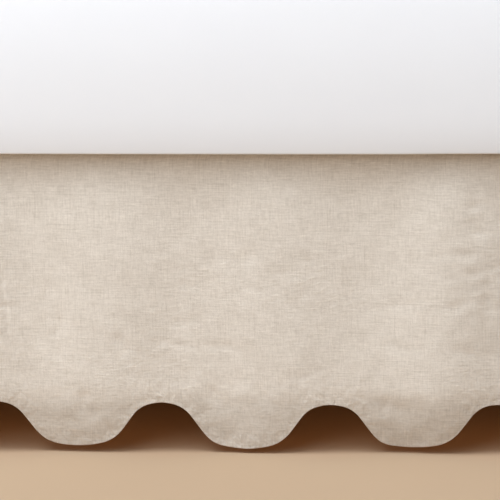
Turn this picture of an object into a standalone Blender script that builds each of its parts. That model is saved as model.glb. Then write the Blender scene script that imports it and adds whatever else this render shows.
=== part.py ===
"""A bed skirt with a scalloped hem, hanging on a plain single bed.

Metres, +Z up. The floor is z = 0, the bed's long sides face -Y and +Y, its foot is at -X, and the
origin is on the floor under the middle of the bed. The skirt is a deck that lies between base and
mattress, and three drop panels that are sewn to it, fall over the base's top edge and stop just
above the floor. The corners at the foot are split, and the head end is open.
"""

import math
from typing import NamedTuple

import bmesh
import bpy

# The cloth
CLOTH = 0.0016
DROP = 0.365  # from the deck down to the lowest line of the hem
HEM_CLEARANCE = 0.008  # between the lobes and the floor
TURN_IN = 0.030  # how far each panel reaches in over the base, to the seam with the deck
FOLD_RADIUS = 0.014  # where a panel turns down over the edge of the base
HANG_CLEARANCE = 0.0035  # between the base's side and the back of a flat panel
GAP = 0.0003  # between pieces that touch

# The scallops
SIDE_LOBES = 9
FOOT_LOBES = 5
SCALLOP_DEPTH = 0.0552

# The bed
MATTRESS_LENGTH = 1.915  # where its sides bulge most
MATTRESS_WIDTH = 1.001
MATTRESS_HEIGHT = 0.254
MATTRESS_BULGE = 0.005  # how much narrower it is at its lower and upper edge, on each side
MATTRESS_CORNER = 0.050
MATTRESS_INNER_CORNER = 0.012  # the least corner radius of the rings on its crown
MATTRESS_CROWN = 0.012
CROWN_SHARES = (0.16, 0.30, 0.45, 0.62)  # rings on the crown, as shares of half its width
CROWN_REACH = 0.625  # the share at which the crown is full
TOP_ROLL_WIDTH = 0.030  # how far the mattress's upper edge rounds over, sideways
TOP_ROLL_HEIGHT = 0.055  # and downwards
LOW_ROLL_WIDTH = 0.0045  # its lower edge is tighter
LOW_ROLL_HEIGHT = 0.0055
LEAN = 0.0020  # above that, the side still leans in a little
LEAN_HEIGHT = 0.042
BASE_LENGTH = 1.852
BASE_WIDTH = 0.938
BASE_HEIGHT = 0.205
BASE_CORNER = 0.020
BASE_EDGE = 0.012
LEG_TOP_RADIUS = 0.028
LEG_FOOT_RADIUS = 0.019
LEG_INSET_END = 0.100
LEG_INSET_SIDE = 0.090

# Heights that follow
DECK_TOP = HEM_CLEARANCE + DROP
CLOTH_MIDDLE = DECK_TOP - CLOTH / 2
BASE_TOP = DECK_TOP - CLOTH - GAP
BASE_BOTTOM = BASE_TOP - BASE_HEIGHT
MATTRESS_BOTTOM = DECK_TOP + GAP
HANG_PLANE = HANG_CLEARANCE + CLOTH / 2  # the middle of a flat panel, out from the base's side

# How a panel hangs, measured out from HANG_PLANE
FLARE = 0.0022  # the whole panel leans out by this much at the hem
CURL = 0.0150  # the lobes' tips turn back in by nearly this much
CURL_HEIGHT = 0.085
CURL_POWER = 1.6
FOLD_START = 0.030  # the folds reach most of their depth this far below the top
SPLIT_TOP = 0.0015  # half of the corner slit at the top, and at the hem
SPLIT_HEM = 0.0050

# Steps of the mesh
TURN_ANGLES = (90, 60, 30, 0)  # rows where the panel turns down over the edge, in degrees
DROP_SHARES = (0.22, 0.44, 0.64, 0.82, 1.0)  # rows of the hanging part, as shares of its length
CORNER_STEPS = 5
ROLL_STEPS = 4
SIDE_STEPS = 4
BASE_CORNER_STEPS = 4
BASE_EDGE_STEPS = 3
LEG_SIDES = 24
SHARP_ANGLE = math.radians(40)


class Arc(NamedTuple):
    radius: float
    start: float  # the hem's slope where the arc starts and ends, in radians
    end: float
    steps: int


GAP_ARCS = (
    Arc(radius=0.075, start=0.0, end=math.radians(13), steps=1),  # the round top of a gap
    Arc(radius=0.036, start=math.radians(13), end=math.radians(48), steps=2),  # where it turns down
)
LOBE_ARCS = (
    Arc(radius=0.048, start=math.radians(48), end=math.radians(10), steps=3),  # a lobe's shoulder
    Arc(radius=0.160, start=math.radians(10), end=0.0, steps=1),  # its flatter bottom
)


class Fold(NamedTuple):
    at: float  # along the panel from its middle
    wide: float  # half its width
    out: float  # how far it stands out
    lean: float  # how far it drifts sideways down to the hem


SIDE_FOLDS = (
    Fold(at=-0.870, wide=0.050, out=0.0074, lean=0.010),
    Fold(at=-0.705, wide=0.075, out=0.0056, lean=-0.012),
    Fold(at=-0.530, wide=0.055, out=0.0080, lean=0.006),
    Fold(at=-0.326, wide=0.048, out=0.0094, lean=0.014),
    Fold(at=-0.164, wide=0.072, out=0.0074, lean=-0.016),
    Fold(at=0.015, wide=0.062, out=0.0056, lean=0.036),
    Fold(at=0.266, wide=0.052, out=0.0088, lean=-0.028),
    Fold(at=0.425, wide=0.060, out=0.0050, lean=0.010),
    Fold(at=0.575, wide=0.075, out=0.0054, lean=0.014),
    Fold(at=0.735, wide=0.052, out=0.0082, lean=-0.010),
    Fold(at=0.885, wide=0.048, out=0.0062, lean=0.000),
)
FOOT_FOLDS = (
    Fold(at=-0.400, wide=0.055, out=0.0066, lean=0.008),
    Fold(at=-0.235, wide=0.070, out=0.0058, lean=-0.010),
    Fold(at=-0.045, wide=0.055, out=0.0084, lean=0.004),
    Fold(at=0.150, wide=0.075, out=0.0056, lean=0.012),
    Fold(at=0.345, wide=0.058, out=0.0076, lean=-0.006),
)
FAR_FOLDS = tuple(Fold(-fold.at, fold.wide, fold.out, -fold.lean) for fold in SIDE_FOLDS)


class Panel(NamedTuple):
    name: str
    run: float  # the base's side that it hangs on
    reach: float  # from the bed's middle to that side
    lobes: int
    folds: tuple
    turn: float  # about +Z, from the near side
    mitred: tuple  # whether its left and its right end meet another panel


PANELS = (
    Panel("panel_near", BASE_LENGTH, BASE_WIDTH / 2, SIDE_LOBES, SIDE_FOLDS, 0.0, (True, False)),
    Panel("panel_far", BASE_LENGTH, BASE_WIDTH / 2, SIDE_LOBES, FAR_FOLDS, math.pi, (False, True)),
    Panel("panel_foot", BASE_WIDTH, BASE_LENGTH / 2, FOOT_LOBES, FOOT_FOLDS, -math.pi / 2, (True, True)),
)


def ease(share):
    """0 to 1 with a soft start and end."""
    share = min(max(share, 0.0), 1.0)
    return share * share * (3 - 2 * share)


def clear_scene():
    for obj in list(bpy.data.objects):
        bpy.data.objects.remove(obj, do_unlink=True)


def make_material(name, color, roughness):
    material = bpy.data.materials.new(name)
    material.use_nodes = True
    shader = material.node_tree.nodes["Principled BSDF"]
    shader.inputs["Base Color"].default_value = (*color, 1.0)
    shader.inputs["Roughness"].default_value = roughness
    shader.inputs["Metallic"].default_value = 0.0
    return material


def add_object(name, bm, material, smooth=True):
    """The bmesh as a named object. Round pieces are shaded smooth, up to their sharp edges."""
    mesh = bpy.data.meshes.new(name)
    bm.to_mesh(mesh)
    bm.free()
    mesh.materials.append(material)
    if smooth:
        mesh.shade_smooth()
        mesh.set_sharp_from_angle(angle=SHARP_ANGLE)
    obj = bpy.data.objects.new(name, mesh)
    bpy.context.scene.collection.objects.link(obj)
    return obj


def arc_width(arc):
    return arc.radius * abs(math.sin(arc.end) - math.sin(arc.start))


def follow(arcs, points):
    """Carries a line of (along, down) points on along each arc in turn."""
    for arc in arcs:
        along, down = points[-1]
        for step in range(1, arc.steps + 1):
            slope = arc.start + (arc.end - arc.start) * step / arc.steps
            points.append((
                along + arc.radius * abs(math.sin(slope) - math.sin(arc.start)),
                down + arc.radius * abs(math.cos(slope) - math.cos(arc.start)),
            ))


def half_scallop():
    """(along, down) from the middle of a gap to the middle of a lobe, with a straight flank between."""
    flank_width = BASE_LENGTH / SIDE_LOBES / 2 - sum(arc_width(arc) for arc in GAP_ARCS + LOBE_ARCS)
    points = [(0.0, 0.0)]
    follow(GAP_ARCS, points)
    along, down = points[-1]
    points.append((along + flank_width, down + flank_width * math.tan(LOBE_ARCS[0].start)))
    follow(LOBE_ARCS, points)
    return points


def hem_line(length, lobes):
    """(along, height) of the hem from one end of a panel to the other, one whole lobe after another."""
    half = half_scallop()
    wide, deep = half[-1]
    half = [(along / wide, down / deep) for along, down in half]
    falling = [(along, 1 - down) for along, down in half]
    rising = [(2 - along, 1 - down) for along, down in reversed(half[:-1])]
    pitch = length / lobes
    line = [(0.0, 1.0)]
    for lobe in range(lobes):
        line += [(2 * lobe + along, rise) for along, rise in falling[1:] + rising]
    return [
        (along * pitch / 2 - length / 2, HEM_CLEARANCE + SCALLOP_DEPTH * rise) for along, rise in line
    ]


def stand_out(panel, along, height):
    """How far out from HANG_PLANE the panel hangs at a place: its folds, its flare and its curled lobes."""
    below = CLOTH_MIDDLE - FOLD_RADIUS - height
    share = below / DROP
    grown = 1 - math.exp(-max(below, 0.0) / FOLD_START)
    swell = sum(
        fold.out * math.exp(-(((along - fold.at - fold.lean * share) / fold.wide) ** 2))
        for fold in panel.folds
    )
    curl = CURL * max((CURL_HEIGHT - height) / CURL_HEIGHT, 0.0) ** CURL_POWER
    return swell * grown + FLARE * share - curl


def panel_section():
    """(out from the base's side, height) of a panel's turned-in part, from the seam over the edge."""
    turn_out, turn_height = HANG_PLANE - FOLD_RADIUS, CLOTH_MIDDLE - FOLD_RADIUS
    section = [(-TURN_IN, CLOTH_MIDDLE)]
    for angle in TURN_ANGLES:
        a = math.radians(angle)
        section.append((turn_out + FOLD_RADIUS * math.cos(a), turn_height + FOLD_RADIUS * math.sin(a)))
    return section


def panel_point(panel, along, hem, row, section):
    """The place of one grid point, with the panel facing -Y and its base's side at y = 0."""
    if row < len(section):
        out, height = section[row]
        split = SPLIT_TOP
    else:
        share = DROP_SHARES[row - len(section)]
        top = section[-1][1]
        height = top + (hem - top) * share
        split = SPLIT_TOP + (SPLIT_HEM - SPLIT_TOP) * share
        out = HANG_PLANE + stand_out(panel, along, height)
    end = panel.run / 2
    mitre = min(out, HANG_PLANE) - split
    left = end + (mitre if panel.mitred[0] else 0.0)
    right = end + (mitre if panel.mitred[1] else 0.0)
    share = (along + end) / panel.run
    return (-left + (left + right) * share, -out, height)


def make_panel(panel, material):
    """A drop panel: a grid with one column at each point of the hem, solidified to the cloth's thickness."""
    hem = hem_line(panel.run, panel.lobes)
    section = panel_section()
    columns, rows = len(hem), len(section) + len(DROP_SHARES)
    bm = bmesh.new()
    bmesh.ops.create_grid(bm, x_segments=columns - 1, y_segments=rows - 1, size=0.5)
    for vert in bm.verts:
        column = round((vert.co.x + 0.5) * (columns - 1))
        row = round((0.5 - vert.co.y) * (rows - 1))
        along, height = hem[column]
        vert.co = panel_point(panel, along, height, row, section)
    obj = add_object(panel.name, bm, material)
    thicken = obj.modifiers.new("cloth", "SOLIDIFY")
    thicken.thickness = CLOTH
    thicken.offset = 0.0
    obj.rotation_euler.z = panel.turn
    obj.location = (panel.reach * math.sin(panel.turn), -panel.reach * math.cos(panel.turn), 0.0)
    return obj


def make_box(name, low, high, material):
    bm = bmesh.new()
    bmesh.ops.create_cube(bm, size=1.0)
    for vert in bm.verts:
        vert.co = [(a + b) / 2 + (b - a) * t for a, b, t in zip(low, high, vert.co)]
    return add_object(name, bm, material, smooth=False)


def make_deck(material):
    """The flat sheet between base and mattress. Its edges meet the panels' turned-in edges."""
    left = -BASE_LENGTH / 2 + TURN_IN + GAP
    side = BASE_WIDTH / 2 - TURN_IN - GAP
    low = (left, -side, DECK_TOP - CLOTH)
    high = (BASE_LENGTH / 2, side, DECK_TOP)
    return make_box("deck", low, high, material)


def bevel_edges(bm, wanted, width, steps):
    edges = [edge for edge in bm.edges if wanted(edge)]
    bmesh.ops.bevel(
        bm, geom=edges, offset=width, offset_type="OFFSET", affect="EDGES",
        segments=steps, profile=0.5, material=-1,
    )


def make_base(material):
    """The upholstered box under the mattress, with rounded corners and edges."""
    bm = bmesh.new()
    bmesh.ops.create_cube(bm, size=1.0)
    middle = (BASE_TOP + BASE_BOTTOM) / 2
    for vert in bm.verts:
        vert.co = (vert.co.x * BASE_LENGTH, vert.co.y * BASE_WIDTH, middle + vert.co.z * BASE_HEIGHT)

    def upright(edge):
        return abs(edge.verts[0].co.z - edge.verts[1].co.z) > BASE_HEIGHT / 2

    def on_a_rim(edge):
        heights = [abs(vert.co.z - middle) for vert in edge.verts]
        return not upright(edge) and min(heights) > BASE_HEIGHT / 2 - GAP

    bevel_edges(bm, upright, BASE_CORNER, BASE_CORNER_STEPS)
    bevel_edges(bm, on_a_rim, BASE_EDGE, BASE_EDGE_STEPS)
    return add_object("base", bm, material)


def rounded_ring(bm, inset, height):
    """A level ring of vertices round the mattress, inset from its widest outline."""
    half_x, half_y = MATTRESS_LENGTH / 2 - inset, MATTRESS_WIDTH / 2 - inset
    radius = max(MATTRESS_CORNER - inset, MATTRESS_INNER_CORNER)
    ring = []
    for quarter, (sx, sy) in enumerate(((1, 1), (-1, 1), (-1, -1), (1, -1))):
        for step in range(CORNER_STEPS + 1):
            a = math.pi / 2 * (quarter + step / CORNER_STEPS)
            x = sx * (half_x - radius) + radius * math.cos(a)
            y = sy * (half_y - radius) + radius * math.sin(a)
            ring.append(bm.verts.new((x, y, height)))
    return ring


def bulged(inset, height):
    """(inset, height) with the side's bulge, full at mid-height, and its lean towards the lower edge."""
    up = height - MATTRESS_BOTTOM
    share = min(max(up / (MATTRESS_HEIGHT - MATTRESS_CROWN), 0.0), 1.0)
    lean = LEAN * max(1 - up / LEAN_HEIGHT, 0.0) ** 2
    return inset + MATTRESS_BULGE * (1 - math.sin(math.pi * share)) + lean, height


def mattress_profile():
    """(inset, height) of the mattress's rings, from the flat underside, up its side and over its crown."""
    quarter = [math.pi / 2 * step / ROLL_STEPS for step in range(ROLL_STEPS + 1)]
    shoulder = MATTRESS_BOTTOM + MATTRESS_HEIGHT - MATTRESS_CROWN
    low = [
        (LOW_ROLL_WIDTH * (1 - math.sin(a)), MATTRESS_BOTTOM + LOW_ROLL_HEIGHT * (1 - math.cos(a)))
        for a in quarter
    ]
    high = [
        (TOP_ROLL_WIDTH * (1 - math.sin(a)), shoulder - TOP_ROLL_HEIGHT * (1 - math.cos(a)))
        for a in reversed(quarter)
    ]
    side_low, side_high = low[-1][1], high[0][1]
    side = [
        (0.0, side_low + (side_high - side_low) * step / SIDE_STEPS) for step in range(1, SIDE_STEPS)
    ]
    crown = [
        (MATTRESS_WIDTH / 2 * share, shoulder + MATTRESS_CROWN * ease(share / CROWN_REACH))
        for share in CROWN_SHARES
    ]
    return [bulged(inset, height) for inset, height in low + side + high] + crown


def make_mattress(material):
    """The mattress in its fitted sheet: one filled solid with a crown and rolled edges."""
    bm = bmesh.new()
    rings = [rounded_ring(bm, inset, height) for inset, height in mattress_profile()]
    for lower, upper in zip(rings, rings[1:]):
        for i in range(len(lower)):
            bm.faces.new((lower[i - 1], lower[i], upper[i], upper[i - 1]))
    bm.faces.new(rings[0][::-1])
    bm.faces.new(rings[-1])
    return add_object("mattress", bm, material)


def make_legs(material):
    """Three pairs of tapered round legs, standing on the floor under the base."""
    height = BASE_BOTTOM - GAP
    bm = bmesh.new()
    bmesh.ops.create_cone(
        bm, cap_ends=True, cap_tris=False, segments=LEG_SIDES,
        radius1=LEG_FOOT_RADIUS, radius2=LEG_TOP_RADIUS, depth=height,
    )
    first = add_object("leg_1", bm, material)
    end, side = BASE_LENGTH / 2 - LEG_INSET_END, BASE_WIDTH / 2 - LEG_INSET_SIDE
    places = [(x, y) for x in (-end, 0.0, end) for y in (-side, side)]
    for number, (x, y) in enumerate(places, start=1):
        leg = first
        if number > 1:
            leg = bpy.data.objects.new(f"leg_{number}", first.data)
            bpy.context.scene.collection.objects.link(leg)
        leg.location = (x, y, height / 2)


def main():
    clear_scene()
    linen = make_material("skirt_linen", (0.67, 0.58, 0.48), 0.92)
    cotton = make_material("deck_cotton", (0.80, 0.77, 0.72), 0.90)
    sheet = make_material("mattress_sheet", (0.87, 0.87, 0.88), 0.85)
    ticking = make_material("base_ticking", (0.62, 0.60, 0.57), 0.90)
    wood = make_material("leg_wood", (0.40, 0.27, 0.17), 0.55)
    for panel in PANELS:
        make_panel(panel, linen)
    make_deck(cotton)
    make_mattress(sheet)
    make_base(ticking)
    make_legs(wood)


main()
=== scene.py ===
# %% [markdown]
# # A bed skirt with a scalloped hem, on a plain single bed
#
# This notebook dresses a bed that already exists as plain solids. The solids give every size and
# place, and each cell here adds one finish or one piece: the camera, the materials, and then the
# skirt, the mattress, the base with its legs, and the light. Everything is in metres, with +Z up.
# The bed's near side faces -Y, and its foot is at -X.

import math
from typing import NamedTuple

import bmesh
import bpy
import numpy as np
from mathutils import Matrix, Vector, noise


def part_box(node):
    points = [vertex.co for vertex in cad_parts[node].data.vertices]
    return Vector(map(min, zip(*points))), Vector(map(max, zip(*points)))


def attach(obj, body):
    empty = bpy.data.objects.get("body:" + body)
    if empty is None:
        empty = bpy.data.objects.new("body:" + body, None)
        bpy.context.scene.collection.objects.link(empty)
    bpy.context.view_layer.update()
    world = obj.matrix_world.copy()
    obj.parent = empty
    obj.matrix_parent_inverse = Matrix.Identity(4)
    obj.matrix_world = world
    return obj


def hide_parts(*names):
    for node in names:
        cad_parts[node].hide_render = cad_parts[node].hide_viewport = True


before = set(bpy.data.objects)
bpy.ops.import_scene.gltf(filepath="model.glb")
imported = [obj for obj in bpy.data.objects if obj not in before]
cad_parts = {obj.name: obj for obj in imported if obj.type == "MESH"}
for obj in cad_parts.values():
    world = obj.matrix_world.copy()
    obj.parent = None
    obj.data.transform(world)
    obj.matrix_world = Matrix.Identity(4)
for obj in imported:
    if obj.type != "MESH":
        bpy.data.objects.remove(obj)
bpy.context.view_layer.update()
print("nodes:", ", ".join(sorted(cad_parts)))

# %% [markdown]
# ## Sizes that everything shares
#
# A tailored skirt is measured on its bed, so its sizes are read from the solids. Reading them, and
# not typing them again, keeps the cloth on its bed when the bed changes. Only how the cloth bends
# and how far it hangs clear of the base is written here.

# %% Shared sizes
base_low, base_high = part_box("base")
deck_low, deck_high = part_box("deck")
mattress_low, mattress_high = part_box("mattress")
panel_low, panel_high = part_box("panel_near")

BASE_LENGTH = base_high.x - base_low.x
BASE_WIDTH = base_high.y - base_low.y
DECK_TOP = deck_high.z
CLOTH = deck_high.z - deck_low.z
HEM_LOW = panel_low.z
DROP = DECK_TOP - HEM_LOW
TURN_IN = base_high.y - deck_high.y  # how far a panel reaches in over the base, to its seam
FOLD_RADIUS = 0.014  # where a panel turns down over the edge of the base
HANG_CLEARANCE = 0.0035  # between the base's side and the back of a flat panel
HANG_PLANE = HANG_CLEARANCE + CLOTH / 2
CLOTH_MIDDLE = DECK_TOP - CLOTH / 2
print(f"base {BASE_LENGTH:.3f} x {BASE_WIDTH:.3f}, drop {DROP:.3f}, cloth {CLOTH * 1000:.1f} mm")

# %% [markdown]
# ## The camera
#
# A camera in Blender looks along its own -Z axis. Here it looks at a point on the near side's cloth
# from a little above and a little to the right, through a long lens, which keeps the uprights nearly
# parallel. `to_track_quat` turns the camera towards that point, and a small roll levels the mattress.

# %% Place the camera
CAMERA_LENS = 200.0
CAMERA_DISTANCE = 3.346
CAMERA_AZIMUTH = math.radians(3.73)
CAMERA_ELEVATION = math.radians(11.0)
CAMERA_ROLL = math.radians(-0.53)
CAMERA_TARGET = Vector((0.0066, base_low.y - HANG_PLANE, 0.2538))
CAMERA_CLIP = (0.05, 60.0)


def place_camera():
    data = bpy.data.cameras.new("camera")
    data.lens = CAMERA_LENS
    data.clip_start, data.clip_end = CAMERA_CLIP
    camera = bpy.data.objects.new("camera", data)
    back = Vector((
        math.sin(CAMERA_AZIMUTH) * math.cos(CAMERA_ELEVATION),
        -math.cos(CAMERA_AZIMUTH) * math.cos(CAMERA_ELEVATION),
        math.sin(CAMERA_ELEVATION),
    ))
    turn = (-back).to_track_quat("-Z", "Y").to_matrix() @ Matrix.Rotation(CAMERA_ROLL, 3, "Z")
    camera.matrix_world = Matrix.Translation(CAMERA_TARGET + back * CAMERA_DISTANCE) @ turn.to_4x4()
    bpy.context.scene.collection.objects.link(camera)
    bpy.context.scene.camera = camera
    return camera


camera = place_camera()
print("camera at", [round(value, 3) for value in camera.location])

# %% [markdown]
# ## Helpers for materials
#
# A material in Blender is a graph of nodes. Adding and linking nodes one at a time makes long code,
# so this small class does both in one call: an input that is given a socket is linked, and one that
# is given a number is set. `pattern` is the one used most: noise drawn out to a width and a height.

# %% A helper that wires nodes
class Wiring:
    """The node graph of one new material, with short calls to add to it."""

    def __init__(self, name):
        self.material = bpy.data.materials.new(name)
        self.material.use_nodes = True
        self.tree = self.material.node_tree
        self.shader = self.tree.nodes["Principled BSDF"]

    def put(self, node, inputs):
        for key, value in inputs.items():
            socket = node.inputs[key]
            if isinstance(value, bpy.types.NodeSocket):
                self.tree.links.new(value, socket)
            else:
                socket.default_value = value

    def add(self, kind, inputs=None, **settings):
        node = self.tree.nodes.new(kind)
        for key, value in settings.items():
            setattr(node, key, value)
        self.put(node, inputs or {})
        return node

    def math(self, operation, first, second=0.0, clamp=False):
        node = self.add("ShaderNodeMath", {0: first, 1: second}, operation=operation, use_clamp=clamp)
        return node.outputs[0]

    def stretch(self, place, wide, high, deep=1.0, turn=0.0, shift=(0.0, 0.0, 0.0)):
        """place divided by a pattern's width and height, after a turn in its plane."""
        turned = self.add("ShaderNodeMapping", {"Vector": place, "Rotation": (0.0, 0.0, turn)})
        scale = (1 / wide, 1 / high, 1 / deep)
        inputs = {"Vector": turned.outputs[0], "Scale": scale, "Location": shift}
        return self.add("ShaderNodeMapping", inputs).outputs[0]

    def pattern(self, place, wide, high, detail=2.0, roughness=0.5, distortion=0.0, **stretching):
        """Noise whose blotches have about the given width and height."""
        inputs = {
            "Vector": self.stretch(place, wide, high, **stretching), "Scale": 1.0, "Detail": detail,
            "Roughness": roughness, "Distortion": distortion,
        }
        return self.add("ShaderNodeTexNoise", inputs, noise_dimensions="3D").outputs["Fac"]

    def ramp(self, value, low, high, to_low=0.0, to_high=1.0):
        inputs = {"Value": value, "From Min": low, "From Max": high}
        inputs |= {"To Min": to_low, "To Max": to_high}
        return self.add("ShaderNodeMapRange", inputs, clamp=True).outputs["Result"]

    def mix(self, share, first, second):
        node = self.add("ShaderNodeMix", {0: share, 6: first, 7: second}, data_type="RGBA")
        return node.outputs[2]

    def weigh(self, *pairs):
        """The sum of patterns, each times its weight."""
        result, *others = [self.math("MULTIPLY", pattern, weight) for pattern, weight in pairs]
        for other in others:
            result = self.math("ADD", result, other)
        return result

    def over_under(self, place, yarn):
        """A plain weave: up where a yarn passes over the next one, down where it passes under."""
        spot = self.add("ShaderNodeSeparateXYZ", {"Vector": self.stretch(place, yarn, yarn)})
        turns = [self.math("MULTIPLY", spot.outputs[axis], math.tau) for axis in (0, 1)]
        return self.math("MULTIPLY", *[self.math("SINE", turn) for turn in turns])

    def bump(self, height, distance):
        inputs = {"Height": height, "Distance": distance, "Strength": 1.0}
        return self.add("ShaderNodeBump", inputs).outputs["Normal"]


print("node helper ready")

# %% [markdown]
# ## The linen
#
# Linen is spun from long flax fibres that never come out even: each yarn has thick places, called
# slubs, and each takes the light a little differently. A plain weave shows warp and weft in turn, so
# the cloth looks like two sets of fine streaks crossing, with a darker yarn running on for longer
# here and there. The streaks are noise stretched hard along one direction, read from the cloth's own
# UV map in metres, and a fine grid of sines picks which set is on top.
#
# Two values stored on each vertex of a panel tell where the hem is. One marks the facing, the
# second layer behind the scallops; the cloth's colour is darkened there as painted shade, for the
# lesser light that reaches the scallops. "hem" marks the few centimetres beside the sewn edge,
# where stitches gather the cloth into puckers.

# %% Linen
YARN = 0.0009
LINEN_DARK = (0.476, 0.405, 0.328, 1.0)
LINEN_LIGHT = (0.861, 0.786, 0.694, 1.0)
LINEN_TONE = -0.265  # added to the patterns, to centre them between dark and light
# painted shade: the colour over the facing is multiplied by this
FACING_PAINTED_SHADE = 0.90  # how dark the cloth is over the facing
LINEN_RELIEF = 0.0009


def linen():
    w = Wiring("skirt_linen")
    cut = w.add("ShaderNodeUVMap", uv_map="cut").outputs["UV"]
    grid = w.over_under(cut, YARN)

    warp = w.pattern(cut, 0.0017, 0.016, detail=1.5, roughness=0.55)
    weft = w.pattern(cut, 0.017, 0.0019, shift=(3.1, 7.7, 0.0), detail=1.5, roughness=0.55)
    thick_warp = w.pattern(cut, 0.0024, 0.012, shift=(5.0, 2.0, 0.0), detail=1.0)
    thick_weft = w.pattern(cut, 0.016, 0.0023, shift=(9.0, 4.0, 0.0), detail=1.0)
    dark_warp = w.pattern(cut, 0.0014, 0.070, shift=(8.0, 3.0, 0.0), detail=0.5)
    dark_weft = w.pattern(cut, 0.085, 0.0014, shift=(4.0, 9.0, 0.0), detail=0.5)
    fleck = w.pattern(cut, 0.0032, 0.0026, shift=(2.0, 6.0, 0.0), detail=2.0, roughness=0.6)
    cloudy = w.pattern(cut, 0.034, 0.020, shift=(1.0, 1.0, 0.0), detail=3.0, roughness=0.6)
    warp_slub = w.ramp(thick_warp, 0.60, 0.80)
    weft_slub = w.ramp(thick_weft, 0.59, 0.79)
    long_warp = w.ramp(dark_warp, 0.60, 0.74)
    long_weft = w.ramp(dark_weft, 0.60, 0.74)

    tone = w.weigh(
        (warp, 0.46), (weft, 0.54), (fleck, 0.42), (cloudy, 0.34), (warp_slub, 0.10),
        (weft_slub, 0.13), (grid, 0.03), (long_warp, -0.11), (long_weft, -0.12),
    )
    tone = w.math("ADD", tone, LINEN_TONE, clamp=True)
    # Painted shade: the colour is darkened over the facing, along the bottom of each panel.
    facing_shade = w.add("ShaderNodeAttribute", attribute_name="facing_shade").outputs["Fac"]
    shade = w.ramp(facing_shade, 0.0, 1.0, 1.0, FACING_PAINTED_SHADE)
    color = w.add("ShaderNodeVectorMath", {0: w.mix(tone, LINEN_DARK, LINEN_LIGHT)}, operation="SCALE")
    w.put(color, {"Scale": shade})

    hem = w.add("ShaderNodeAttribute", attribute_name="hem").outputs["Fac"]
    tucks = w.pattern(cut, 0.0070, 0.0120, turn=0.5, detail=2.5, distortion=0.3)
    puckers = w.math("MULTIPLY", w.math("SUBTRACT", tucks, 0.5), hem)
    shift = (7.0, 1.0, 0.0)
    crinkle = w.pattern(cut, 0.0125, 0.0060, turn=0.25, shift=shift, detail=3.0, distortion=0.7)
    patches = w.ramp(w.pattern(cut, 0.120, 0.080, shift=(3.0, 5.0, 0.0), detail=1.0), 0.42, 0.66)
    crinkles = w.math("MULTIPLY", w.math("SUBTRACT", crinkle, 0.5), patches)
    height = w.weigh(
        (grid, 0.030), (warp, 0.12), (weft, 0.15), (warp_slub, 0.05), (weft_slub, 0.06),
        (fleck, 0.10), (puckers, 3.0), (crinkles, 0.55),
    )
    w.put(w.shader, {
        "Base Color": color.outputs[0], "Normal": w.bump(height, LINEN_RELIEF), "Roughness": 0.92,
        "Specular IOR Level": 0.25, "Sheen Weight": 0.10, "Sheen Roughness": 0.55,
        "Sheen Tint": (1.0, 0.96, 0.90, 1.0),
    })
    return w.material


linen_cloth = linen()
print("made", linen_cloth.name)

# %% [markdown]
# ## The other cloths
#
# The mattress wears a smooth white cotton sheet, the deck under it is plain cotton, and the base is
# covered in a close, slightly flecked upholstery cloth. They share one recipe: a tone between two
# colours, picked by fine crossed streaks, and a bump from the same streaks.

# %% Woven cotton cloths
def woven(name, dark, light, yarn, relief, streak, fleck, roughness, sheen):
    """A close plain weave with streaks of the given contrast, on the piece's UV map in metres."""
    w = Wiring(name)
    cut = w.add("ShaderNodeUVMap", uv_map="cut").outputs["UV"]
    warp = w.pattern(cut, yarn * 2, yarn * 40)
    weft = w.pattern(cut, yarn * 44, yarn * 2, shift=(3.0, 8.0, 0.0))
    soft = w.pattern(cut, 0.11, 0.09)
    specks = w.ramp(w.pattern(cut, yarn * 3, yarn * 3, detail=1.0), 0.60, 0.72)
    streaks = w.math("ADD", warp, weft)
    tone = w.weigh((streaks, streak / 2), (soft, 0.4), (specks, fleck))
    tone = w.math("ADD", tone, 0.3 - streak / 2)
    height = w.weigh((w.over_under(cut, yarn), 0.3), (warp, 1.0), (weft, 1.0))
    w.put(w.shader, {
        "Base Color": w.mix(tone, dark, light), "Normal": w.bump(height, relief),
        "Roughness": roughness, "Specular IOR Level": 0.3, "Sheen Weight": sheen,
        "Sheen Roughness": 0.5,
    })
    return w.material


sheet_cloth = woven(
    "mattress_sheet", dark=(0.84, 0.84, 0.86, 1.0), light=(0.90, 0.90, 0.915, 1.0),
    yarn=0.0004, relief=0.00002, streak=0.3, fleck=0.0, roughness=0.82, sheen=0.06,
)
deck_cloth = woven(
    "deck_cotton", dark=(0.66, 0.62, 0.55, 1.0), light=(0.78, 0.74, 0.67, 1.0),
    yarn=0.0006, relief=0.00005, streak=0.6, fleck=0.1, roughness=0.9, sheen=0.05,
)
base_cloth = woven(
    "base_ticking", dark=(0.36, 0.335, 0.305, 1.0), light=(0.56, 0.53, 0.49, 1.0),
    yarn=0.0011, relief=0.00012, streak=0.9, fleck=0.3, roughness=0.9, sheen=0.08,
)
print("made", ", ".join(cloth.name for cloth in (sheet_cloth, deck_cloth, base_cloth)))

# %% [markdown]
# ## The wood of the legs
#
# A turned leg is cut along the grain, so its growth rings show as long streaks from top to foot, with
# fine dark pores between them. Both are noise drawn out along Z, read in the object's own place.

# %% Wood
WOOD_DARK = (0.115, 0.062, 0.032, 1.0)
WOOD_LIGHT = (0.36, 0.22, 0.125, 1.0)


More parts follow.
